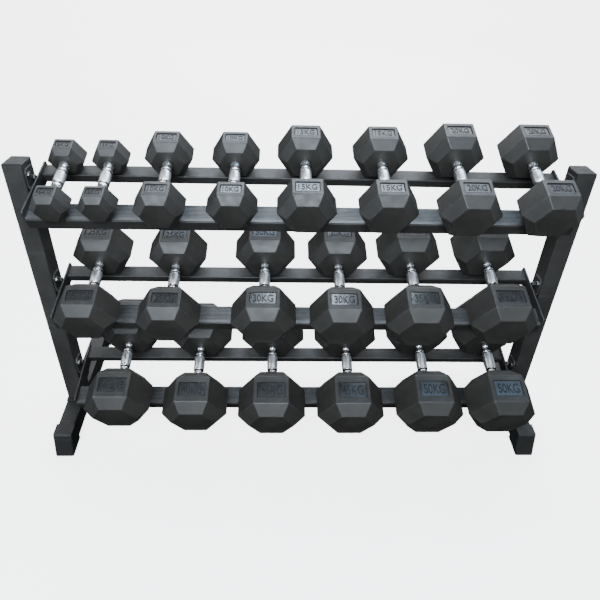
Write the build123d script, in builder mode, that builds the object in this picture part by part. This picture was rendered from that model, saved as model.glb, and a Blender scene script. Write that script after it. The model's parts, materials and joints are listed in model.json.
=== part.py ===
"""Three-tier dumbbell rack with ten pairs of hex dumbbells, in millimetres.

X runs along the rack, Y towards its back and Z up. The front faces -Y and the feet
stand on Z = 0. Two leaning uprights on feet carry three tiers, and each tier is a front
and a rear angle rail between two end plates, bolted to the uprights through brackets.
"""

import os
from math import cos, radians, sin, sqrt, tan

from build123d import *

os.makedirs("parts", exist_ok=True)

# Rack, overall
clear_width = 1329.0  # between the uprights
upright_height = 806.0  # front edge of the upright caps
upright_lean = 7.3  # degrees that the uprights lean back
tier_tilt = 12.5  # degrees that the seats fall towards the front
first_tier_height = 131.7  # front edge of the lowest tier
top_tier_drop = 90.3  # from the upright caps down to the front edge of the highest tier

# Rectangular tube
tube_width = 48.0
tube_depth = 60.0
tube_wall = 2.5
tube_corner = 4.0

# Feet and their caps
foot_front = -214.0  # top edge of the front cap
foot_rear = 253.6  # top edge of the rear cap
cap_slant = 26.0  # how far a cap's lower edge stands ahead of its upper edge
cap_length = 40.0
cap_end_wall = 6.0
cap_side_wall = 2.5
cap_sole = 3.5
cap_chamfer = 3.0

# Uprights
upright_front = -72.1  # front face of an upright where it meets the base plate
base_plate_thickness = 4.0
base_plate_length = 92.0
upright_cap_lid = 4.0
upright_cap_chamfer = 2.5
upright_cap_plug = 14.0  # part of a cap that sits inside the tube
upright_cap_wall = 2.0
upright_cap_clearance = 0.2

# Tiers, measured along the seat from the front edge and square to the seat
tier_reach = 83.6  # front edge ahead of the uprights, square to them
rail_wall = 4.0
rail_bend = 3.0
front_seat = 56.0
front_face = 28.0
rear_start = 153.8
rear_seat = 38.0
rear_face = 22.0
mat_lip = 1.5  # bare lip ahead of the mat
mat_border = 9.0  # smooth strip along the mat's front
mat_width = 53.0
mat_base = 1.2
rib_height = 0.8
rib_width = 2.6
rib_count = 10

# End plates, standing above the seats so that nothing rolls off sideways
plate_thickness = 4.0
plate_gap = 12.5  # from an end plate to the upright beside it
end_plate_start = 3.0
end_plate_length = 195.0
end_plate_front = 22.0  # top edge above the seat, at the front
end_plate_rear = 11.0  # top edge above the seat, at the rear
end_plate_drop = 28.0  # lower edge below the seat
end_plate_chamfer = 4.0

# Brackets, cranked from the upright over to the end plate. Heights run along the
# upright, from where the end plate's top edge passes it.
bracket_width = 45.0
bracket_edge = 5.0  # from the upright's front face
bracket_top = 37.6
bracket_crank_top = -5.4
bracket_crank_bottom = -19.4
bracket_bottom = -50.4
bracket_chamfer = 8.0

# Bolts: from the upright's front face and along it from the end plate's top edge
bolt_places = [(39.0, -5.7), (14.0, 19.3)]
bolt_head_flats = 13.0
bolt_head_height = 5.5

# Dumbbells: kilograms to (width across the corners, flat length of a head, grip)
dumbbell_sizes = {
    5: (90.0, 34.0, 103.0),
    10: (117.0, 42.0, 101.0),
    15: (136.0, 48.0, 102.0),
    20: (145.0, 51.0, 106.0),
    25: (156.0, 56.0, 107.0),
    30: (164.0, 60.0, 109.0),
    35: (174.0, 64.0, 110.0),
    40: (179.0, 73.0, 112.0),
    45: (187.0, 80.0, 112.0),
    50: (190.0, 80.0, 118.0),
}
# Each row: kilograms, place along the rack, how far the front head's flat reaches
# onto the front rail
rows = {
    "bottom": [
        (40, -505.0, 18.0),
        (40, -291.0, 5.0),
        (45, -78.0, 4.0),
        (45, 141.0, 4.0),
        (50, 363.0, 7.0),
        (50, 567.0, 9.0),
    ],
    "middle": [
        (25, -540.0, 16.0),
        (25, -336.0, 10.0),
        (30, -98.0, 10.0),
        (30, 100.0, 8.0),
        (35, 296.0, 9.0),
        (35, 509.0, 16.0),
    ],
    "top": [
        (5, -579.0, 29.0),
        (5, -473.0, 30.0),
        (10, -330.0, 22.0),
        (10, -167.0, 24.0),
        (15, 2.0, 20.0),
        (15, 188.0, 21.0),
        (20, 372.0, 18.0),
        (20, 560.0, 20.0),
    ],
}
seat_clearance = 0.3  # between a head and what it rests on
head_taper_share = 0.30  # tapered end, as a share of half the width across the corners
head_end_share = 0.68  # end face, as a share of the head's section
label_width_share = 0.80  # label recess, as a share of the flat
label_length_share = 0.58
label_depth = 2.0

# Handles: a round grip on a hexagonal bar that is keyed into both heads
grip_radius = 15.5
bar_flats = 12.0
bar_clearance = 0.1
bar_end_wall = 25.0  # head left beyond the bar's end
neck_length = 13.0  # bar left bare between the grip and a head

# Worked out from the sizes above
lean = radians(upright_lean)
tilt = radians(tier_tilt)
up_along = (0, sin(lean), cos(lean))
along_upright = Axis((0, 0, 0), up_along)
back_square = (0, cos(lean), -sin(lean))
along_seat = (0, cos(tilt), sin(tilt))
inner_x = clear_width / 2
tube_x = inner_x + tube_width / 2
end_plate_x = inner_x - plate_gap
rail_end = end_plate_x - plate_thickness
foot_height = tube_depth + 2 * cap_sole
base_top = cap_sole + tube_depth + base_plate_thickness
upright_length = (upright_height - base_top) / cos(lean)
tier_span = upright_height - top_tier_drop - first_tier_height
tier_rise = tier_span / (len(rows) - 1)
mat_top = mat_base + rib_height
sides = {"left": -1, "right": 1}


def save(piece, name):
    """Label a finished piece and write it to its file."""
    piece.part.label = name
    export_step(piece.part, f"parts/{name}.step")


def upright_face(x, above=0.0):
    """Side of an upright at x: across is back from its front face, up is along it."""
    origin = (
        x,
        upright_front + above * sin(lean),
        base_top + above * cos(lean),
    )
    return Plane(origin=origin, x_dir=back_square, z_dir=(1, 0, 0))


def upright_section(x, above):
    """Cross-section of an upright at x, centred on the tube."""
    middle = upright_face(x, above).from_local_coords((tube_depth / 2, 0, 0))
    return Plane(origin=middle, x_dir=(1, 0, 0), z_dir=up_along)


def tier_level(index):
    """Distance along the uprights up to a tier's front edge."""
    height = first_tier_height + index * tier_rise
    return (height - base_top - tier_reach * sin(lean)) / cos(lean)


def tier_section(index, x=0.0):
    """End view of a tier: across is back along the seat, up is square to it."""
    origin = upright_face(x, tier_level(index)).from_local_coords((-tier_reach, 0, 0))
    return Plane(origin=origin, x_dir=along_seat, z_dir=(1, 0, 0))


def plate_edge(back):
    """Height along an upright, over a tier's front edge, of the end plate's top edge."""
    slope = lean + tilt
    stand = (end_plate_front + end_plate_rear) / 2
    return (tier_reach + back) * tan(slope) + stand / cos(slope)


def angle_profile(start, level, seat, face):
    """Bent angle with its corner at start, seat on top and face hanging in front."""
    with Locations((start, level)):
        Rectangle(seat, rail_wall, align=(Align.MIN, Align.MAX))
        Rectangle(rail_wall, face, align=(Align.MIN, Align.MAX))


def tube_profile():
    """Hollow section of the tube that the feet and the uprights are cut from."""
    RectangleRounded(tube_width, tube_depth, tube_corner)
    Rectangle(
        tube_width - 2 * tube_wall, tube_depth - 2 * tube_wall, mode=Mode.SUBTRACT
    )


# Feet: tubes on the floor side of the caps
for side, sign in sides.items():
    tube_start = foot_front + cap_end_wall
    tube_end = foot_rear - cap_end_wall
    start = Plane(
        origin=(sign * tube_x, tube_start, cap_sole + tube_depth / 2),
        x_dir=(1, 0, 0),
        z_dir=(0, 1, 0),
    )
    with BuildPart() as foot:
        with BuildSketch(start):
            tube_profile()
        extrude(amount=tube_end - tube_start)
    save(foot, f"{side}_foot")

# Foot caps: four slip-on shoes whose outer ends slant down and out
foot_middle = (foot_front + foot_rear) / 2
with BuildPart() as foot_caps:
    with BuildSketch(Plane.YZ.offset(tube_x)):
        with BuildLine():
            Polyline(
                (foot_front - cap_slant, 0),
                (foot_front, foot_height),
                (foot_front + cap_length, foot_height),
                (foot_front + cap_length, 0),
                close=True,
            )
        make_face()
    extrude(amount=tube_width / 2 + cap_side_wall, both=True)
    slanted = foot_caps.faces().sort_by(Axis.Y)[0]
    chamfer(slanted.edges().sort_by(Axis.Z)[1:], length=cap_chamfer)
    socket_end = Plane(
        origin=(tube_x, foot_front + cap_end_wall, cap_sole + tube_depth / 2),
        x_dir=(1, 0, 0),
        z_dir=(0, 1, 0),
    )
    with BuildSketch(socket_end):
        Rectangle(tube_width, tube_depth)
    extrude(amount=cap_length, mode=Mode.SUBTRACT)
    mirror(about=Plane.XZ.offset(-foot_middle))
    mirror(about=Plane.YZ)
save(foot_caps, "foot_caps")

# Base plates: welded between the uprights and the feet
with BuildPart() as base_plates:
    plate_middle = upright_front + tube_depth / 2 / cos(lean)
    with Locations(
        (-tube_x, plate_middle, base_top), (tube_x, plate_middle, base_top)
    ):
        Box(
            tube_width,
            base_plate_length,
            base_plate_thickness,
            align=(Align.CENTER, Align.CENTER, Align.MAX),
        )
save(base_plates, "upright_base_plates")

# Uprights: leaning tubes, cut level at the base plate
for side, sign in sides.items():
    with BuildPart() as upright:
        with BuildSketch(upright_section(sign * tube_x, -tube_depth)):
            tube_profile()
        extrude(amount=upright_length + tube_depth - upright_cap_lid)
        split(bisect_by=Plane.XY.offset(base_top), keep=Keep.TOP)
    save(upright, f"{side}_upright")

# Upright caps: bevelled lids, flush with the tube, on hollow plugs
with BuildPart() as upright_caps:
    lid_start = upright_length - upright_cap_lid
    inner_gap = tube_wall + upright_cap_clearance
    plug_width = tube_width - 2 * inner_gap
    plug_depth = tube_depth - 2 * inner_gap
    with BuildSketch(upright_section(tube_x, lid_start)):
        RectangleRounded(tube_width, tube_depth, tube_corner)
    extrude(amount=upright_cap_lid)
    top = upright_caps.faces().sort_by(along_upright)[-1]
    chamfer(top.edges(), length=upright_cap_chamfer)
    with BuildSketch(upright_section(tube_x, lid_start)):
        Rectangle(plug_width, plug_depth)
        Rectangle(
            plug_width - 2 * upright_cap_wall,
            plug_depth - 2 * upright_cap_wall,
            mode=Mode.SUBTRACT,
        )
    extrude(amount=-upright_cap_plug)
    mirror(about=Plane.YZ)
save(upright_caps, "upright_caps")

# Tiers: two angle rails, a ribbed mat and two end plates each
for tier, row in enumerate(rows):
    with BuildPart() as front_rail:
        with BuildSketch(tier_section(tier)) as profile:
            angle_profile(0, 0, front_seat, front_face)
            corner = profile.vertices().group_by(Axis.X)[0].sort_by(Axis.Y)[-1]
            fillet(corner, radius=rail_bend)
        extrude(amount=rail_end, both=True)
    save(front_rail, f"{row}_front_rail")

    with BuildPart() as rear_rail:
        with BuildSketch(tier_section(tier)) as profile:
            angle_profile(rear_start, mat_top, rear_seat, rear_face)
            corner = profile.vertices().group_by(Axis.X)[0].sort_by(Axis.Y)[-1]
            fillet(corner, radius=rail_bend)
        extrude(amount=rail_end, both=True)
    save(rear_rail, f"{row}_rear_rail")

    with BuildPart() as end_plates:
        with BuildSketch(tier_section(tier, rail_end)) as outline:
            end_plate_end = end_plate_start + end_plate_length
            with BuildLine():
                Polyline(
                    (end_plate_start, -end_plate_drop),
                    (end_plate_start, end_plate_front),
                    (end_plate_end, end_plate_rear),
                    (end_plate_end, -end_plate_drop),
                    close=True,
                )
            make_face()
            chamfer(outline.vertices(), length=end_plate_chamfer)
        extrude(amount=plate_thickness)
        mirror(about=Plane.YZ)
    save(end_plates, f"{row}_end_plates")

with BuildPart() as rail_mats:
    ribbed_width = mat_width - mat_border
    rib_pitch = ribbed_width / rib_count
    for tier in range(len(rows)):
        with BuildSketch(tier_section(tier)):
            with Locations((mat_lip, 0)):
                Rectangle(mat_width, mat_base, align=Align.MIN)
                Rectangle(mat_border, mat_top, align=Align.MIN)
            with Locations((mat_lip + mat_border + ribbed_width / 2, mat_base)):
                with GridLocations(rib_pitch, 0, rib_count, 1):
                    Rectangle(rib_width, rib_height, align=(Align.CENTER, Align.MIN))
        extrude(amount=rail_end, both=True)
save(rail_mats, "rail_mats")

# Brackets: bolted to the inner sides of the uprights, cranked over to the end plates
with BuildPart() as brackets:
    for tier in range(len(rows)):
        level = tier_level(tier) + plate_edge(bracket_edge)
        front_end = Plane(
            origin=upright_face(0, level).from_local_coords((bracket_edge, 0, 0)),
            x_dir=(1, 0, 0),
            z_dir=(0, -cos(lean), sin(lean)),
        )
        with BuildPart() as bracket:
            with BuildSketch(front_end):
                with BuildLine():
                    Polyline(
                        (inner_x, bracket_top),
                        (inner_x, bracket_crank_top),
                        (end_plate_x + plate_thickness, bracket_crank_bottom),
                        (end_plate_x + plate_thickness, bracket_bottom),
                        (end_plate_x, bracket_bottom),
                        (end_plate_x, bracket_crank_bottom),
                        (inner_x - plate_thickness, bracket_crank_top),
                        (inner_x - plate_thickness, bracket_top),
                        close=True,
                    )
                make_face()
            extrude(amount=-bracket_width)
            top_corners = bracket.edges().filter_by(Axis.X).sort_by(along_upright)[-2:]
            chamfer(top_corners, length=bracket_chamfer)
    mirror(about=Plane.YZ)
save(brackets, "upright_brackets")

# Bolts: hexagon heads on the brackets
with BuildPart() as bolts:
    for tier in range(len(rows)):
        with BuildSketch(upright_face(inner_x - plate_thickness, tier_level(tier))):
            for back, above in bolt_places:
                with Locations((back, plate_edge(back) + above)):
                    RegularPolygon(bolt_head_flats / 2, 6, major_radius=False)
        extrude(amount=-bolt_head_height)
    mirror(about=Plane.YZ)
save(bolts, "bracket_bolts")

# Dumbbells: two hexagonal heads on a handle, lying across the rails of a tier
for tier, (row, dumbbells) in enumerate(rows.items()):
    for number, (weight, place, reach) in enumerate(dumbbells, start=1):
        across, flat_length, grip = dumbbell_sizes[weight]
        name = f"{row}_{number}_{weight}kg"
        corner_radius = across / 2
        half_flats = corner_radius * sqrt(3) / 2
        taper = head_taper_share * corner_radius
        end_depth = half_flats * (1 - head_end_share)
        head_length = flat_length + 2 * taper
        bar_end = grip / 2 + head_length - bar_end_wall

        # Middle of the grip, looking along the handle from the front
        middle = tier_section(tier, place).from_local_coords(
            (
                reach + taper + grip / 2,
                mat_top + seat_clearance + half_flats,
                0,
            )
        )
        across_grip = Plane(
            origin=middle, x_dir=(1, 0, 0), z_dir=(0, -cos(tilt), -sin(tilt))
        )

        with BuildPart() as heads:
            with BuildSketch(across_grip.offset(grip / 2)):
                RegularPolygon(corner_radius, 6)
            extrude(amount=head_length)
            along_grip = Axis(middle, across_grip.z_dir)
            ends = heads.faces().sort_by(along_grip)
            for end in (ends[0], ends[-1]):
                chamfer(end.edges(), length=end_depth, length2=taper, reference=end)
            label_middle = across_grip.from_local_coords(
                (0, half_flats, grip / 2 + taper + flat_length / 2)
            )
            with BuildSketch(
                Plane(origin=label_middle, x_dir=(1, 0, 0), z_dir=across_grip.y_dir)
            ):
                Rectangle(
                    label_width_share * corner_radius, label_length_share * flat_length
                )
            extrude(amount=-label_depth, mode=Mode.SUBTRACT)
            with BuildSketch(across_grip):
                RegularPolygon(bar_flats / 2 + bar_clearance, 6, major_radius=False)
            extrude(amount=bar_end + bar_clearance, mode=Mode.SUBTRACT)
            mirror(about=across_grip)
        save(heads, f"{name}_heads")

        with BuildPart() as handle:
            with BuildSketch(across_grip):
                Circle(grip_radius)
            extrude(amount=grip / 2 - neck_length, both=True)
            with BuildSketch(across_grip):
                RegularPolygon(bar_flats / 2, 6, major_radius=False)
            extrude(amount=bar_end, both=True)
        save(handle, f"{name}_handle")
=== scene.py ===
"""Looks of the loaded dumbbell rack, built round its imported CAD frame.

Lengths are metres unless marked as mm, and the frame is the CAD one: X along the rack,
Y to its back, Z up. The heads and handles of the dumbbells are drawn afresh with rounded
edges, labels and knurling. The rack keeps its CAD nodes, with softened edges.
"""

import json
import math

import bmesh
import bpy
from mathutils import Matrix, Vector

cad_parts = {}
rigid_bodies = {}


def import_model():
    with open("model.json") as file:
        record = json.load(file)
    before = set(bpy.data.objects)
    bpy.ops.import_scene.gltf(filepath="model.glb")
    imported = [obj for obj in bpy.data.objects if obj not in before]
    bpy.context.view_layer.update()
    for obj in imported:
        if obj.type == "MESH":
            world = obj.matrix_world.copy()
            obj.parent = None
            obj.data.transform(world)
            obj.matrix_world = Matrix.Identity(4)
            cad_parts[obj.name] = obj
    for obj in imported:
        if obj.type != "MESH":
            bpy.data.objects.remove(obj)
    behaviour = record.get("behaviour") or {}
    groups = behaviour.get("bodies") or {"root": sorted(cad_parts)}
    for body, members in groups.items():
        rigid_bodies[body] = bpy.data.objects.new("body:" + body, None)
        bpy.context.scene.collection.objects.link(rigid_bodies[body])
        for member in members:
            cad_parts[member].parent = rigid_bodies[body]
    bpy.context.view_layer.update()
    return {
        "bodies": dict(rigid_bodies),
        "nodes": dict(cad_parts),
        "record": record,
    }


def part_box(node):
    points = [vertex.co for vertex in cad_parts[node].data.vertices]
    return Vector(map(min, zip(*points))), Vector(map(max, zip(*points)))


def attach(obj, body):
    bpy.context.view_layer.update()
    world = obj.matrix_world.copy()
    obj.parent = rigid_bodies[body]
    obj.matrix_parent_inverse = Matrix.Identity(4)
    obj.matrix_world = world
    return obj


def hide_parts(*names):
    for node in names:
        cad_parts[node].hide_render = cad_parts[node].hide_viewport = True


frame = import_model()
nodes = frame["nodes"]

MM = 0.001
TILT = math.radians(12.5)  # of the tiers, and of the dumbbells on them
ALONG = Vector((0, math.cos(TILT), math.sin(TILT)))
UP = Vector((0, -math.sin(TILT), math.cos(TILT)))


# Materials
MIX_FACTOR, MIX_A, MIX_B, MIX_RESULT = 0, 6, 7, 2  # sockets of a colour mix
RUBBER_SPECK = (0.05, 0.05, 0.051)
RUBBER_WORN = (0.04, 0.0405, 0.042)
RUBBER_DUST = (0.24, 0.25, 0.26)
PAINT_SCUFF = (0.075, 0.076, 0.078)
PAINT_DUST = (0.26, 0.265, 0.27)


def new_material(name):
    """A material with its node tree and its shader."""
    material = bpy.data.materials.new(name)
    material.use_nodes = True
    tree = material.node_tree
    return material, tree, tree.nodes["Principled BSDF"]


def put(tree, kind, inputs, **settings):
    """Add a node, and set or link its inputs."""
    node = tree.nodes.new(kind)
    for key, value in settings.items():
        setattr(node, key, value)
    for key, value in inputs.items():
        if isinstance(value, bpy.types.NodeSocket):
            tree.links.new(value, node.inputs[key])
        else:
            node.inputs[key].default_value = value
    return node


def noise(tree, scale, detail=3.0, stretch=None):
    """Noise that stays with the piece, with features of one part in scale of a metre."""
    where = put(tree, "ShaderNodeTexCoord", {}).outputs["Object"]
    if stretch:
        mapping = {"Vector": where, "Scale": stretch}
        where = put(tree, "ShaderNodeMapping", mapping).outputs[0]
    inputs = {"Vector": where, "Scale": scale, "Detail": detail}
    return put(tree, "ShaderNodeTexNoise", inputs).outputs["Fac"]


def remap(tree, value, span, result=(0.0, 1.0)):
    """Stretch a range of values to another, clamped."""
    ends = dict(zip(("From Min", "From Max", "To Min", "To Max"), (*span, *result)))
    return put(tree, "ShaderNodeMapRange", {"Value": value, **ends}).outputs["Result"]


def multiply(tree, a, b):
    """Product of two values."""
    return put(tree, "ShaderNodeMath", {0: a, 1: b}, operation="MULTIPLY").outputs[0]


def mix(tree, factor, a, b):
    """Blend from a, a colour or a socket, to the colour b."""
    first = (*a, 1) if isinstance(a, tuple) else a
    inputs = {MIX_FACTOR: factor, MIX_A: first, MIX_B: (*b, 1)}
    return put(tree, "ShaderNodeMix", inputs, data_type="RGBA").outputs[MIX_RESULT]


def dusted(tree, colour, scale, amount, slope, dust_colour):
    """Lay patches of dust on what faces up; slope is where dust starts to hold."""
    patches = remap(tree, noise(tree, scale, 5.0), (0.36, 0.72), amount)
    normal = put(tree, "ShaderNodeNewGeometry", {}).outputs["Normal"]
    facing_up = put(tree, "ShaderNodeSeparateXYZ", {"Vector": normal}).outputs["Z"]
    cover = multiply(tree, remap(tree, facing_up, (slope, 0.98)), patches)
    return mix(tree, cover, colour, dust_colour)


def bump(tree, height, distance, strength, below=None):
    """Raise a surface by a pattern, over another bump if one is given."""
    inputs = {"Height": height, "Distance": distance, "Strength": strength}
    if below is not None:
        inputs["Normal"] = below
    return put(tree, "ShaderNodeBump", inputs).outputs["Normal"]


def connect(tree, shader, colour, roughness, normal):
    """Feed a shader its colour, roughness and normal."""
    tree.links.new(colour, shader.inputs["Base Color"])
    tree.links.new(roughness, shader.inputs["Roughness"])
    tree.links.new(normal, shader.inputs["Normal"])


def rubber(name, dark, light, rough, dust=0.05, shine=0.5):
    """Moulded rubber: clouded, speckled, finely grained, paler along rubbed edges."""
    material, tree, shader = new_material(name)
    cloud = remap(tree, noise(tree, 17.0, 4.0), (0.35, 0.65))
    colour = mix(tree, cloud, dark, light)
    specks = remap(tree, noise(tree, 420.0), (0.6, 0.78), (0.0, 0.3))
    colour = mix(tree, specks, colour, RUBBER_SPECK)
    rubbed = put(tree, "ShaderNodeAttribute", {}, attribute_name="worn").outputs["Fac"]
    patches = remap(tree, noise(tree, 75.0, 5.0), (0.42, 0.66), (0.05, 0.6))
    colour = mix(tree, multiply(tree, rubbed, patches), colour, RUBBER_WORN)
    colour = dusted(tree, colour, 48.0, (0.15 * dust, dust), 0.6, RUBBER_DUST)
    roughness = remap(tree, noise(tree, 60.0, 5.0), (0.3, 0.7), rough)
    wave = bump(tree, noise(tree, 26.0, 2.0), 1.2 * MM, 0.16)
    grain = bump(tree, noise(tree, 1500.0, 2.0), 0.25 * MM, 0.35, wave)
    connect(tree, shader, colour, roughness, grain)
    shader.inputs["Specular IOR Level"].default_value = shine
    return material


def paint(name, dark, light, rough, dust=0.03, shine=0.5):
    """Black powder coat or plastic: orange peel, clouding, scuffs and a little dust."""
    material, tree, shader = new_material(name)
    cloud = remap(tree, noise(tree, 11.0, 5.0), (0.32, 0.68))
    colour = mix(tree, cloud, dark, light)
    scratches = noise(tree, 34.0, 6.0, stretch=(0.12, 1.0, 1.0))
    colour = mix(tree, remap(tree, scratches, (0.64, 0.74), (0.0, 0.3)), colour, PAINT_SCUFF)
    colour = dusted(tree, colour, 55.0, (0.12 * dust, dust), 0.55, PAINT_DUST)
    roughness = remap(tree, noise(tree, 70.0, 5.0), (0.3, 0.7), rough)
    peel = bump(tree, noise(tree, 620.0, 2.0), 0.3 * MM, 0.3)
    connect(tree, shader, colour, roughness, peel)
    shader.inputs["Specular IOR Level"].default_value = shine
    return material


def metal(name, dark, light, rough):
    """Bare or plated metal with smears and hairline scratches round the bar."""
    material, tree, shader = new_material(name)
    cloud = remap(tree, noise(tree, 60.0, 4.0), (0.35, 0.65))
    colour = mix(tree, cloud, dark, light)
    roughness = remap(tree, noise(tree, 130.0, 5.0), (0.32, 0.7), rough)
    lines = bump(tree, noise(tree, 300.0, 3.0, stretch=(0.2, 9.0, 0.2)), 0.12 * MM, 0.12)
    connect(tree, shader, colour, roughness, lines)
    shader.inputs["Metallic"].default_value = 1.0
    return material


head_rubber = rubber(
    "head_rubber", (0.0152, 0.0139, 0.0122), (0.0246, 0.0226, 0.0198), (0.44, 0.58)
)
label_rubber = rubber(
    "label_rubber",
    (0.009, 0.0093, 0.0098),
    (0.016, 0.0165, 0.0173),
    (0.25, 0.35),
    dust=0.03,
    shine=1.0,
)
# Dark rubber of the raised figures, also laid in the labels' trenches as painted shade
figure_and_trench_shade_rubber = rubber(
    "figure_and_trench_shade_rubber", (0.006, 0.006, 0.006), (0.011, 0.011, 0.0108), (0.5, 0.65), shine=0.3
)
mat_rubber = rubber(
    "mat_rubber", (0.03, 0.0296, 0.0292), (0.05, 0.0496, 0.049), (0.32, 0.46), dust=0.12
)
# Near-black rubber on the floors between the mats' ribs: dirt, and painted shade
mat_groove_dirt_and_shade = rubber(
    "mat_groove_dirt_and_shade",
    (0.004, 0.004, 0.004),
    (0.008, 0.008, 0.008),
    (0.6, 0.75),
    dust=0.02,
    shine=0.2,
)
rack_paint = paint(
    "rack_paint", (0.0175, 0.0165, 0.0152), (0.029, 0.0275, 0.0256), (0.4, 0.55)
)
# Paler paint on rounded edges: wear, and a painted highlight
edge_paint_wear_and_highlight = paint(
    "edge_paint_wear_and_highlight", (0.026, 0.0256, 0.025), (0.05, 0.0495, 0.0486), (0.4, 0.56), dust=0.05
)
# A darker copy of the rack's paint on the rails: painted shade
rail_paint_painted_shade = paint(
    "rail_paint_painted_shade", (0.0125, 0.0118, 0.0108), (0.0205, 0.0194, 0.018), (0.42, 0.57), shine=0.42
)
# A darker copy of the rack's paint on the feet and base plates: painted shade
foot_paint_painted_shade = paint(
    "foot_paint_painted_shade",
    (0.0085, 0.0082, 0.0076),
    (0.0145, 0.014, 0.013),
    (0.5, 0.62),
    dust=0.02,
    shine=0.32,
)
# The feet's edge paint: paler than theirs for wear and a painted highlight, darker than the
# rack's edges as painted shade
edge_foot_wear_highlight_and_shade = paint(
    "edge_foot_wear_highlight_and_shade", (0.016, 0.0156, 0.015), (0.03, 0.0295, 0.0285), (0.46, 0.6), shine=0.4
)
cap_plastic = paint(
    "cap_plastic",
    (0.0085, 0.0083, 0.008),
    (0.014, 0.0137, 0.0132),
    (0.5, 0.62),
    dust=0.02,
    shine=0.34,
)
# Paler plastic on the caps' rounded edges: wear, and a painted highlight
edge_plastic_wear_and_highlight = paint(
    "edge_plastic_wear_and_highlight", (0.016, 0.0158, 0.0155), (0.028, 0.0277, 0.0272), (0.45, 0.6), shine=0.4
)
chrome = metal("chrome", (0.82, 0.82, 0.82), (0.92, 0.92, 0.92), (0.24, 0.34))
knurl_chrome = metal("knurl_chrome", (0.78, 0.78, 0.79), (0.9, 0.9, 0.9), (0.3, 0.42))
# Near-black metal in the handles' grooves: painted shade
groove_shade_steel = metal("groove_shade_steel", (0.03, 0.03, 0.032), (0.09, 0.09, 0.095), (0.35, 0.55))
bolt_steel = metal("bolt_steel", (0.16, 0.16, 0.165), (0.3, 0.3, 0.305), (0.3, 0.46))


# Rack: the CAD nodes with softened edges
PAINTED_EDGE, PLASTIC_EDGE, BOLT_EDGE, MAT_EDGE = 0.7 * MM, 1.2 * MM, 0.6 * MM, 0.3 * MM
SAME_POINT = 0.02 * MM
SAME_PLANE = math.radians(0.5)
SHARP_EDGE = math.radians(28)
GROOVE_DEPTH = 0.8 * MM  # between a mat's ribs
LEVEL = 0.1 * MM  # step in which the heights of a mat's faces are compared


def soften(node, body_material, edge_material, width):
    """Give a CAD node rounded edges and its materials."""
    piece = nodes[node]
    piece.data.materials.clear()
    piece.data.materials.append(body_material)
    piece.data.materials.append(edge_material)
    for polygon in piece.data.polygons:
        polygon.material_index = 0
        polygon.use_smooth = True
    weld = piece.modifiers.new("weld", "WELD")
    weld.merge_threshold = SAME_POINT
    planar = piece.modifiers.new("planar", "DECIMATE")
    planar.decimate_type = "DISSOLVE"
    planar.angle_limit = SAME_PLANE
    bevel = piece.modifiers.new("bevel", "BEVEL")
    bevel.width = width
    bevel.segments = 2
    bevel.limit_method = "ANGLE"
    bevel.angle_limit = SHARP_EDGE
    # Rounded edges take the second material; the paler edge copies of the paints and plastic
    # show wear and a painted highlight
    bevel.material = 1
    normals = piece.modifiers.new("normals", "WEIGHTED_NORMAL")
    normals.keep_sharp = True


def darken_grooves(node, groove_dirt_and_shade_material):
    """Give the floors between the mats' ribs a darker rubber: dirt, and painted shade."""
    piece = nodes[node]
    piece.data.materials[1] = groove_dirt_and_shade_material
    piece.modifiers["bevel"].material = 0
    floors = {}
    for polygon in piece.data.polygons:
        if polygon.normal.dot(UP) > 0.99:
            floors.setdefault(round(polygon.center.dot(UP) / LEVEL), []).append(polygon)
    for level, group in floors.items():
        if any(abs(other - level - GROOVE_DEPTH / LEVEL) < 2 for other in floors):
            for polygon in group:
                polygon.material_index = 1


for name in frame["record"]["behaviour"]["bodies"]["rack"]:
    if name in ("foot_caps", "upright_caps"):
        soften(name, cap_plastic, edge_plastic_wear_and_highlight, PLASTIC_EDGE)
    elif name == "rail_mats":
        soften(name, mat_rubber, mat_rubber, MAT_EDGE)
        darken_grooves(name, mat_groove_dirt_and_shade)
    elif name == "bracket_bolts":
        soften(name, bolt_steel, bolt_steel, BOLT_EDGE)
    elif name in ("left_foot", "right_foot", "upright_base_plates"):
        soften(name, foot_paint_painted_shade, edge_foot_wear_highlight_and_shade, PAINTED_EDGE)
    elif name.endswith("_rail"):
        soften(name, rail_paint_painted_shade, edge_paint_wear_and_highlight, PAINTED_EDGE)
    else:
        soften(name, rack_paint, edge_paint_wear_and_highlight, PAINTED_EDGE)


# Heads of the dumbbells
END_SHARE = 0.68  # of a head's radius, left at the ends of its tapers
ROUNDING, ROUNDING_SHARE = 0.9 * MM, 0.01  # of the edges, and more with the radius
HEAD_SMOOTH = math.radians(55)  # sharper edges than this stay sharp
LABEL_WIDE, LABEL_LONG = 0.40, 0.29  # half sizes, as shares of the radius and of the flat
LABEL_CORNER = 3.0  # mm
LABEL_STEPS = 4  # in each rounded corner
LABEL_RIM = 2  # last step of the outline below that is rim, with the trench after it, which takes the figures' dark rubber as painted shade
LABEL_OUTLINE = (  # mm: how far outside the panel's edge, and how far above the flat
    (2.9, 0.0),
    (2.4, 0.4),
    (0.8, 0.45),
    (0.2, 0.0),
    (-0.1, -1.7),
    (-0.4, -2.3),
    (-1.5, -2.3),
    (-1.9, -1.9),
)
FIGURES_WIDE, FIGURES_LONG = 1.52, 1.24  # as shares of the label's half sizes
FIGURE_HEIGHT, FIGURE_SUNK = 0.9 * MM, 0.1 * MM
RUBBER, PANEL, FIGURE = range(3)  # places of a head's materials; the figures' dark rubber also lies in the labels' trenches as painted shade


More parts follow.
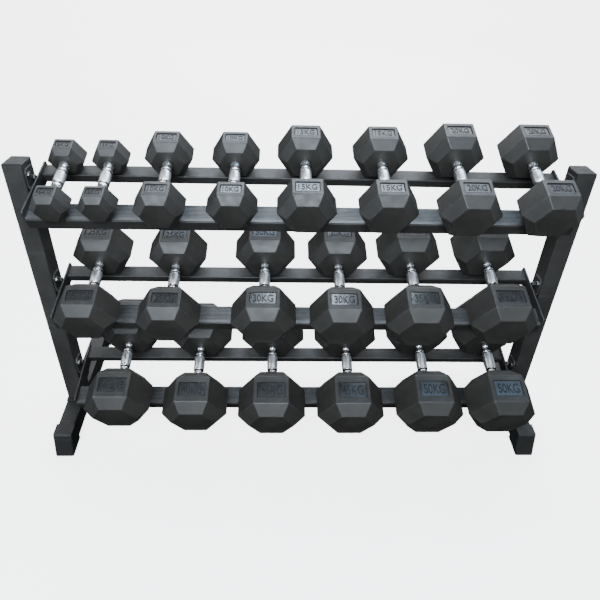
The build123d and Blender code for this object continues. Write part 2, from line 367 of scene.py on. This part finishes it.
def measure(heads):
    """Middle of a dumbbell and its sizes, read off its CAD heads."""
    points = [v.co for v in nodes[heads].data.vertices]
    low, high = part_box(heads)
    across = (high.x - low.x) / 2
    centre = (high.x + low.x) / 2
    along = [p.dot(ALONG) for p in points]
    up = [p.dot(UP) for p in points]
    mid_along = (min(along) + max(along)) / 2
    mid_up = (min(up) + max(up)) / 2
    side_corners = [
        abs(a - mid_along)
        for a, p in zip(along, points)
        if abs(p.x - centre) > across - 0.05 * MM
    ]
    return {
        "middle": Vector((centre, 0, 0)) + ALONG * mid_along + UP * mid_up,
        "radius": across,
        "inner": min(abs(a - mid_along) for a in along),
        "outer": max(along) - mid_along,
        "flat_start": min(side_corners),
        "flat_end": max(side_corners),
    }


def hexagon(mesh, y, radius):
    """Six corners round the handle, with flats at the top and bottom."""
    angles = [math.radians(60 * k) for k in range(6)]
    return [mesh.verts.new((radius * math.cos(a), y, radius * math.sin(a))) for a in angles]


def bridge(mesh, one, other):
    """Quads between two rings of as many points, and the faces made."""
    count = len(one)
    return [
        mesh.faces.new((one[k], one[(k + 1) % count], other[(k + 1) % count], other[k]))
        for k in range(count)
    ]


def rounded_rectangle(mesh, centre, half_x, half_y, corner, z):
    """Ring of points, anticlockwise from above, starting at the far right corner."""
    ring = []
    for quarter, (sx, sy) in enumerate(((1, 1), (-1, 1), (-1, -1), (1, -1))):
        for k in range(LABEL_STEPS + 1):
            angle = math.radians(90 * quarter + 90 * k / LABEL_STEPS)
            x = centre.x + sx * (half_x - corner) + corner * math.cos(angle)
            y = centre.y + sy * (half_y - corner) + corner * math.sin(angle)
            ring.append(mesh.verts.new((x, y, z)))
    return ring


def cut_label(mesh, face, half_x, half_y):
    """Sink a panel with a raised rim and a trench into a flat, and return its middle. The
    trench takes the figures' dark rubber as painted shade.
    """
    centre = face.calc_center_median()
    by_side = {}
    for vert in face.verts:
        offset = vert.co - centre
        by_side[(offset.x > 0, offset.y > 0)] = vert
    order = ((True, True), (False, True), (False, False), (True, False))
    outer = [by_side[key] for key in order]
    bmesh.ops.delete(mesh, geom=[face], context="FACES_ONLY")
    rings = [
        rounded_rectangle(
            mesh,
            centre,
            half_x + grow * MM,
            half_y + grow * MM,
            (LABEL_CORNER + grow) * MM,
            centre.z + lift * MM,
        )
        for grow, lift in LABEL_OUTLINE
    ]
    first = rings[0]
    span = LABEL_STEPS + 1
    for k in range(4):
        start = span * k + LABEL_STEPS // 2
        edge = [first[i % len(first)] for i in range(start, start + span + 1)]
        mesh.faces.new([outer[k], *edge, outer[(k + 1) % 4]])
    for number, (one, other) in enumerate(zip(rings, rings[1:])):
        for side in bridge(mesh, one, other):
            # trench walls: the figures' dark rubber, as painted shade in the recess
            side.material_index = FIGURE if number > LABEL_RIM else RUBBER
    panel = mesh.faces.new(rings[-1])
    panel.material_index = PANEL
    return centre.x, centre.y, centre.z + LABEL_OUTLINE[-1][1] * MM


def figures(text, width, height):
    """Mesh of raised figures, centred and fitted to a panel."""
    curve = bpy.data.curves.new("figures", "FONT")
    curve.body = text
    curve.align_x = "CENTER"
    curve.extrude = 0.045
    curve.bevel_depth = 0.008
    curve.bevel_resolution = 1
    curve.resolution_u = 5
    curve.offset = 0.002
    temporary = bpy.data.objects.new("figures", curve)
    bpy.context.scene.collection.objects.link(temporary)
    bpy.context.view_layer.update()
    evaluated = temporary.evaluated_get(bpy.context.evaluated_depsgraph_get())
    shape = bpy.data.meshes.new_from_object(evaluated)
    bpy.data.objects.remove(temporary)
    bpy.data.curves.remove(curve)
    low = Vector(min(v.co[k] for v in shape.vertices) for k in range(3))
    high = Vector(max(v.co[k] for v in shape.vertices) for k in range(3))
    size = high - low
    scale = Vector((width / size.x, height / size.y, FIGURE_HEIGHT / size.z))
    for vert in shape.vertices:
        place = vert.co - (low + high) / 2
        place.z += size.z / 2
        vert.co = Vector(place[k] * scale[k] for k in range(3))
    return shape


def heads_mesh(sizes, text):
    """Two hexagonal heads with tapered ends, rounded edges and raised figures."""
    mesh = bmesh.new()
    worn = mesh.faces.layers.float.new("worn")
    radius = sizes["radius"]
    stations = (
        (sizes["inner"], END_SHARE),
        (sizes["flat_start"], 1.0),
        (sizes["flat_end"], 1.0),
        (sizes["outer"], END_SHARE),
    )
    for sign in (-1, 1):
        rings = [hexagon(mesh, sign * y, radius * share) for y, share in stations]
        mesh.faces.new(rings[0])
        for one, other in zip(rings, rings[1:]):
            bridge(mesh, one, other)
        mesh.faces.new(rings[-1])
    bmesh.ops.recalc_face_normals(mesh, faces=mesh.faces[:])
    rounding = ROUNDING + ROUNDING_SHARE * radius
    made = bmesh.ops.bevel(
        mesh, geom=mesh.edges[:], offset=rounding, segments=3, profile=0.5, affect="EDGES"
    )
    for face in made["faces"]:
        face[worn] = 1.0
    mesh.normal_update()
    flat_height = radius * math.sqrt(3) / 2
    flat_long = sizes["flat_end"] - sizes["flat_start"]
    tops = [
        face
        for face in mesh.faces
        if face.normal.z > 0.999
        and face.calc_center_median().z > 0.99 * flat_height
        and len(face.verts) == 4
        and face.calc_area() > 0.4 * flat_long * radius
    ]
    half_x, half_y = LABEL_WIDE * radius, LABEL_LONG * flat_long
    panels = [cut_label(mesh, face, half_x, half_y) for face in tops]
    bmesh.ops.recalc_face_normals(mesh, faces=mesh.faces[:])
    shape = figures(text, FIGURES_WIDE * half_x, FIGURES_LONG * half_y)
    for x, y, z in panels:
        before = len(mesh.faces)
        fresh = shape.copy()
        fresh.transform(Matrix.Translation((x, y, z - FIGURE_SUNK)))
        mesh.from_mesh(fresh)
        mesh.faces.ensure_lookup_table()
        for face in mesh.faces[before:]:
            face.material_index = FIGURE
        bpy.data.meshes.remove(fresh)
    bpy.data.meshes.remove(shape)
    for face in mesh.faces:
        face.smooth = True
    data = bpy.data.meshes.new("heads")
    mesh.to_mesh(data)
    mesh.free()
    for material in (head_rubber, label_rubber, figure_and_trench_shade_rubber):
        data.materials.append(material)
    data.set_sharp_from_angle(angle=HEAD_SMOOTH)
    return data


# Handles of the dumbbells, in mm
LIGHTEST, HEAVIEST = 5, 50  # kg
# Radii at the lightest and at the heaviest
FLANGE, WAIST, SHOULDER, GRIP = (12.8, 10.0), (10.8, 7.0), (12.8, 13.0), (13.7, 15.4)
GROOVE = 2.0  # depth, at each end of the grip
KNURL_START = 35.4  # from the head
KNURL_PITCH = 1.25
KNURL_DEPTH = 0.3
GRIP_SWELL = 0.5
COLUMNS = 64
PLAIN, DARK, KNURLED = range(3)  # finishes, and the places of a handle's materials; DARK is painted shade in the grooves


def collar(flange, waist, shoulder, grip):
    """Outline from a head's face to the knurling: how far from the head, radius, finish."""
    return [
        (-2.0, flange - 2.0, PLAIN),
        (0.0, flange - 1.6, PLAIN),
        (1.6, flange - 0.7, PLAIN),
        (3.4, flange - 0.15, PLAIN),
        (5.4, flange, PLAIN),
        (7.4, flange - 0.2, PLAIN),
        (9.2, flange - 0.3 * (flange - waist), PLAIN),
        (10.6, flange - 0.65 * (flange - waist), PLAIN),
        (12.2, waist + 0.2, PLAIN),
        (14.4, waist, PLAIN),
        (17.2, waist, PLAIN),
        (18.8, waist + 0.15 * (shoulder - waist), PLAIN),
        (20.2, waist + 0.45 * (shoulder - waist), PLAIN),
        (21.6, waist + 0.78 * (shoulder - waist), PLAIN),
        (23.2, shoulder - 0.2, PLAIN),
        (25.4, shoulder, PLAIN),
        (27.8, shoulder - 0.3, PLAIN),
        (28.8, shoulder - 0.8, PLAIN),
        (29.3, shoulder - 0.8 * GROOVE, DARK),
        (29.7, shoulder - GROOVE, DARK),
        (31.7, shoulder - GROOVE, DARK),
        (32.1, shoulder - 0.6 * GROOVE, DARK),
        (32.6, grip - 1.3, PLAIN),
        (33.6, grip - 0.7, PLAIN),
        (34.8, grip - 0.5, PLAIN),
    ]


def handle_mesh(sizes, kilos):
    """Turned handle: domed collars, necks, grooves and a swelling knurled grip."""
    half = sizes["inner"] / MM
    heavy = (kilos - LIGHTEST) / (HEAVIEST - LIGHTEST)
    limits = (FLANGE, WAIST, SHOULDER, GRIP)
    radii = [thin + heavy * (thick - thin) for thin, thick in limits]
    outline = collar(*radii)
    rows = [(t - half, r, finish, 0.0) for t, r, finish in outline]
    reach = half - KNURL_START
    count = 2 * round(reach / KNURL_PITCH)
    for k in range(count + 1):
        y = reach * (2 * k / count - 1)
        fade = min(1.0, min(k, count - k) / 2)
        r = radii[-1] - GRIP_SWELL * (y / reach) ** 2
        rows.append((y, r, KNURLED, KNURL_DEPTH * fade))
    rows += [(half - t, r, finish, 0.0) for t, r, finish in reversed(outline)]
    mesh = bmesh.new()
    rings = []
    for number, (y, r, _, depth) in enumerate(rows):
        ring = []
        for k in range(COLUMNS):
            angle = 2 * math.pi * k / COLUMNS
            out = r - depth * ((number + k) % 2)
            x, z = out * math.cos(angle), out * math.sin(angle)
            ring.append(mesh.verts.new((x * MM, y * MM, z * MM)))
        rings.append(ring)
    for (one, other), (row, next_row) in zip(zip(rings, rings[1:]), zip(rows, rows[1:])):
        for face in bridge(mesh, one, other):
            face.material_index = max(row[2], next_row[2])
            face.smooth = row[3] == next_row[3] == 0
    mesh.faces.new(rings[0])
    mesh.faces.new(rings[-1])
    bmesh.ops.recalc_face_normals(mesh, faces=mesh.faces[:])
    data = bpy.data.meshes.new("handle")
    mesh.to_mesh(data)
    mesh.free()
    for material in (chrome, groove_shade_steel, knurl_chrome):
        data.materials.append(material)
    return data


drawn = {}
for body in frame["bodies"]:
    if body == "rack":
        continue
    weight = body.rsplit("_", 1)[1].upper()
    sizes = measure(body + "_heads")
    if weight not in drawn:
        kilos = int(weight.removesuffix("KG"))
        drawn[weight] = (heads_mesh(sizes, weight), handle_mesh(sizes, kilos))
    seat = Matrix.Translation(sizes["middle"]) @ Matrix.Rotation(TILT, 4, "X")
    for kind, data, slot in zip(
        ("heads", "handle"), drawn[weight], ("head_rubber_iron", "handle_chrome")
    ):
        piece = bpy.data.objects.new(f"{kind}_{body}", data)
        bpy.context.scene.collection.objects.link(piece)
        piece.matrix_world = seat
        if kind == "heads":
            piece.modifiers.new("normals", "WEIGHTED_NORMAL").keep_sharp = True
        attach(piece, body)
        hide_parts(f"{body}_{kind}")


# Studio: a pale floor and backdrop that only the camera sees
FLOOR_MIDDLE = Vector((0, 5, -0.0003))
FLOOR_HALF = 14.0
BACKDROP_RADIUS, BACKDROP_TALL, BACKDROP_SIDES = 0.99 * FLOOR_HALF, 9.0, 72


def floor_finish():
    """Pale, faintly clouded and glowing."""
    material, tree, shader = new_material("floor")
    cloud = remap(tree, noise(tree, 3.0, 4.0), (0.3, 0.7))
    colour = mix(tree, cloud, (0.86, 0.84, 0.82), (0.89, 0.87, 0.85))
    tree.links.new(colour, shader.inputs["Base Color"])
    shader.inputs["Roughness"].default_value = 0.7
    shader.inputs["Emission Color"].default_value = (1, 1, 1, 1)
    shader.inputs["Emission Strength"].default_value = 3.0
    return material


def stage_sheet(name, points, faces, material):
    """A sheet of the stage that gives the object no light, mirror image or shadow."""
    data = bpy.data.meshes.new(name)
    data.from_pydata(points, [], faces)
    data.materials.append(material)
    sheet = bpy.data.objects.new(name, data)
    bpy.context.scene.collection.objects.link(sheet)
    sheet.visible_diffuse = False
    sheet.visible_glossy = False
    sheet.visible_shadow = False


floor_material = floor_finish()
floor_corners = [
    FLOOR_MIDDLE + Vector((FLOOR_HALF * sx, FLOOR_HALF * sy, 0))
    for sx, sy in ((-1, -1), (1, -1), (1, 1), (-1, 1))
]
stage_sheet("floor", floor_corners, [(0, 1, 2, 3)], floor_material)
ring_angles = [2 * math.pi * k / BACKDROP_SIDES for k in range(BACKDROP_SIDES)]
ring_low = [
    FLOOR_MIDDLE + BACKDROP_RADIUS * Vector((math.cos(a), math.sin(a), 0))
    for a in ring_angles
]
ring_high = [point + Vector((0, 0, BACKDROP_TALL)) for point in ring_low]
ring_next = [(k + 1) % BACKDROP_SIDES for k in range(BACKDROP_SIDES)]
ring_faces = [
    (k, n, BACKDROP_SIDES + n, BACKDROP_SIDES + k) for k, n in enumerate(ring_next)
]
stage_sheet("backdrop", ring_low + ring_high, ring_faces, floor_material)


# Lights
def softbox(name, place, target, size, power, colour):
    """Rectangular soft light that looks at a point."""
    data = bpy.data.lights.new(name, "AREA")
    data.shape = "RECTANGLE"
    data.size, data.size_y = size
    data.energy = power
    data.color = colour
    light = bpy.data.objects.new(name, data)
    bpy.context.scene.collection.objects.link(light)
    light.location = place
    light.rotation_mode = "QUATERNION"
    light.rotation_quaternion = (Vector(target) - Vector(place)).to_track_quat("-Z", "Y")


softbox("main_light", (-0.35, -2.2, 2.45), (0, 0, 0.45), (1.8, 1.2), 190, (0.8, 0.905, 1.0))
softbox("front_light", (0.0, -3.3, 1.0), (0, 0, 0.5), (2.2, 1.2), 15, (1.0, 0.98, 0.95))
softbox("left_light", (-3.2, -1.0, 0.75), (0, -0.2, 0.5), (2.0, 1.4), 36, (0.8, 0.9, 1.0))
softbox("right_light", (3.2, -0.7, 0.9), (0, -0.1, 0.5), (2.0, 1.4), 15, (0.8, 0.9, 1.0))
softbox("back_light", (0.4, 3.6, 1.6), (0, 0.1, 0.5), (2.6, 1.6), 45, (0.9, 0.95, 1.0))
# The next two lie where the labels mirror them: blue for the lower ones at the right,
# bright for the middle row's at the centre
softbox("rear_light", (0.46, 0.64, 2.7), (0.15, 0.1, 0.4), (2.4, 0.7), 30, (0.36, 0.64, 1.0))
softbox("label_light", (0.12, 0.8, 2.69), (0.1, -0.15, 0.5), (1.5, 0.34), 40, (0.85, 0.93, 1.0))
softbox("floor_light", (0.0, 5.5, 4.2), (0, 5.0, 0), (10.0, 4.0), 900, (0.97, 0.98, 1.0))


def studio_world():
    """Dim surroundings, a little brighter above."""
    world = bpy.data.worlds.new("studio")
    world.use_nodes = True
    tree = world.node_tree
    direction = put(tree, "ShaderNodeTexCoord", {}).outputs["Generated"]
    height = put(tree, "ShaderNodeSeparateXYZ", {"Vector": direction}).outputs["Z"]
    share = remap(tree, height, (-0.1, 0.5))
    glow = mix(tree, share, (0.02, 0.02, 0.022), (0.16, 0.165, 0.17))
    tree.links.new(glow, tree.nodes["Background"].inputs["Color"])
    return world


bpy.context.scene.world = studio_world()


# Camera, as fitted to the photograph's edges
CAMERA_PLACE = (-0.05467, -1.14588, 1.42111)
CAMERA_PITCH, CAMERA_YAW, CAMERA_ROLL = 0.721858, -0.047170, 0.039363
LENS, SENSOR, FARTHEST = 32.4, 36.0, 60


def camera_turn():
    """The camera's axes as a rotation: pitched down, turned and rolled."""
    vertical = Vector((0, 0, 1))
    level = Vector((math.cos(CAMERA_YAW), math.sin(CAMERA_YAW), 0))
    ahead = Vector((-math.sin(CAMERA_YAW), math.cos(CAMERA_YAW), 0))
    forward = ahead * math.cos(CAMERA_PITCH) - vertical * math.sin(CAMERA_PITCH)
    raised = ahead * math.sin(CAMERA_PITCH) + vertical * math.cos(CAMERA_PITCH)
    right = level * math.cos(CAMERA_ROLL) + raised * math.sin(CAMERA_ROLL)
    top = raised * math.cos(CAMERA_ROLL) - level * math.sin(CAMERA_ROLL)
    return Matrix((right, top, -forward)).transposed().to_4x4()


camera_data = bpy.data.cameras.new("camera")
camera_data.lens = LENS
camera_data.sensor_width = SENSOR
camera_data.clip_end = FARTHEST
camera = bpy.data.objects.new("camera", camera_data)
bpy.context.scene.collection.objects.link(camera)
camera.matrix_world = Matrix.Translation(CAMERA_PLACE) @ camera_turn()
bpy.context.scene.camera = camera
